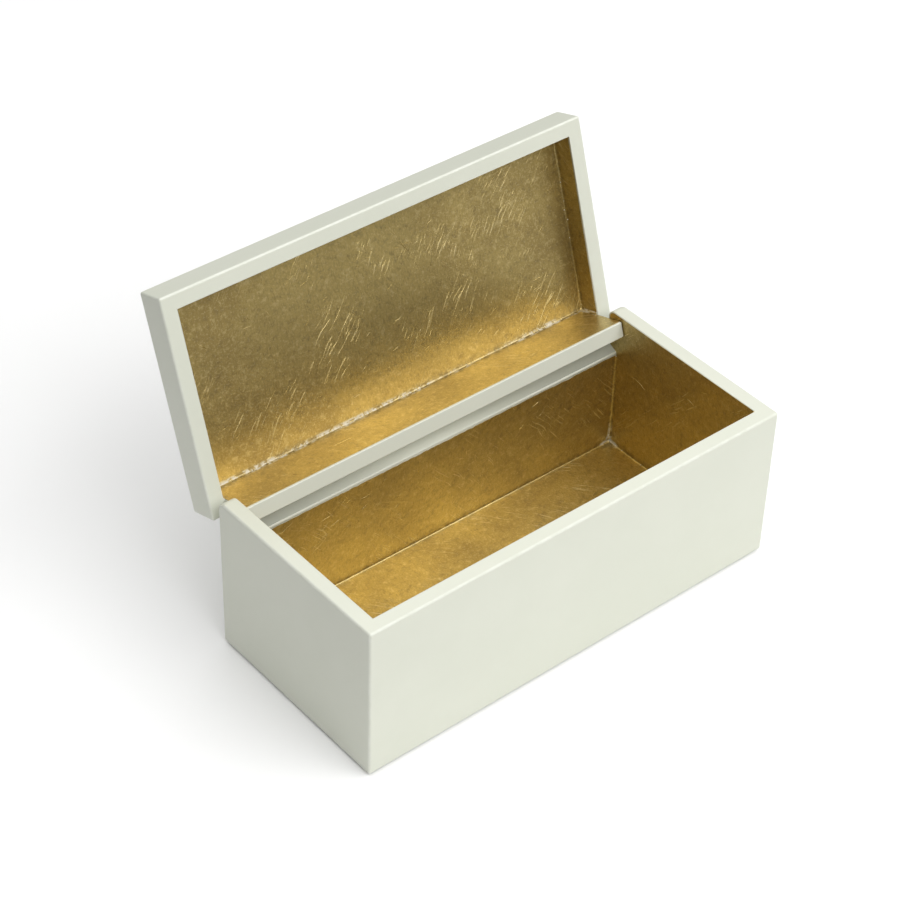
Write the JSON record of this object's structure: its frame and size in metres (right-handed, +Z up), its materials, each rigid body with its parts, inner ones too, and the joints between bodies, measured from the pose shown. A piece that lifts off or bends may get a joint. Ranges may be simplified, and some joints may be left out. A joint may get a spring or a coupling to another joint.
{
  "type": "jewellery box",
  "caption": "Oblong lacquered wooden trinket box with a gilt-lined inside and a deep-railed lid that turns on two hidden pins and stands open past upright.",
  "frame": {"origin": "middle of the underside, on the surface the box rests on", "axes": "+X along the box to its right end, +Y to its back where the lid is hinged, +Z up"},
  "size_m": [0.2, 0.1339, 0.1439],
  "materials": {
    "lacquer": "pale celadon satin lacquer over board",
    "gilding": "burnished metal leaf on thin card under clear lacquer",
    "steel": "plain drawn rod",
    "felt": "thin brown felt"
  },
  "bodies": {
    "base": {"base_felt_pad": "felt", "base_floor_panel": "lacquer", "base_front_wall": "lacquer", "base_back_wall": "lacquer", "base_left_end_wall": "lacquer", "base_right_end_wall": "lacquer", "base_floor_gilt_lining": "gilding", "base_front_gilt_lining": "gilding", "base_back_gilt_lining": "gilding", "base_left_gilt_lining": "gilding", "base_right_gilt_lining": "gilding", "left_hinge_pin": "steel", "right_hinge_pin": "steel"},
    "lid": {"lid_top_panel": "lacquer", "lid_front_rail": "lacquer", "lid_left_rail": "lacquer", "lid_right_rail": "lacquer", "lid_hinge_rail": "lacquer", "lid_top_gilt_lining": "gilding", "lid_front_gilt_lining": "gilding", "lid_left_gilt_lining": "gilding", "lid_right_gilt_lining": "gilding", "lid_hinge_rail_gilt_lining": "gilding"}
  },
  "joints": [
    {"name": "lid_hinge", "type": "hinge", "parent": "base", "child": "lid", "pos_m": [0, 0.0422, 0.06365], "axis": [1, 0, 0], "range_deg": [-25, 108]}
  ]
}
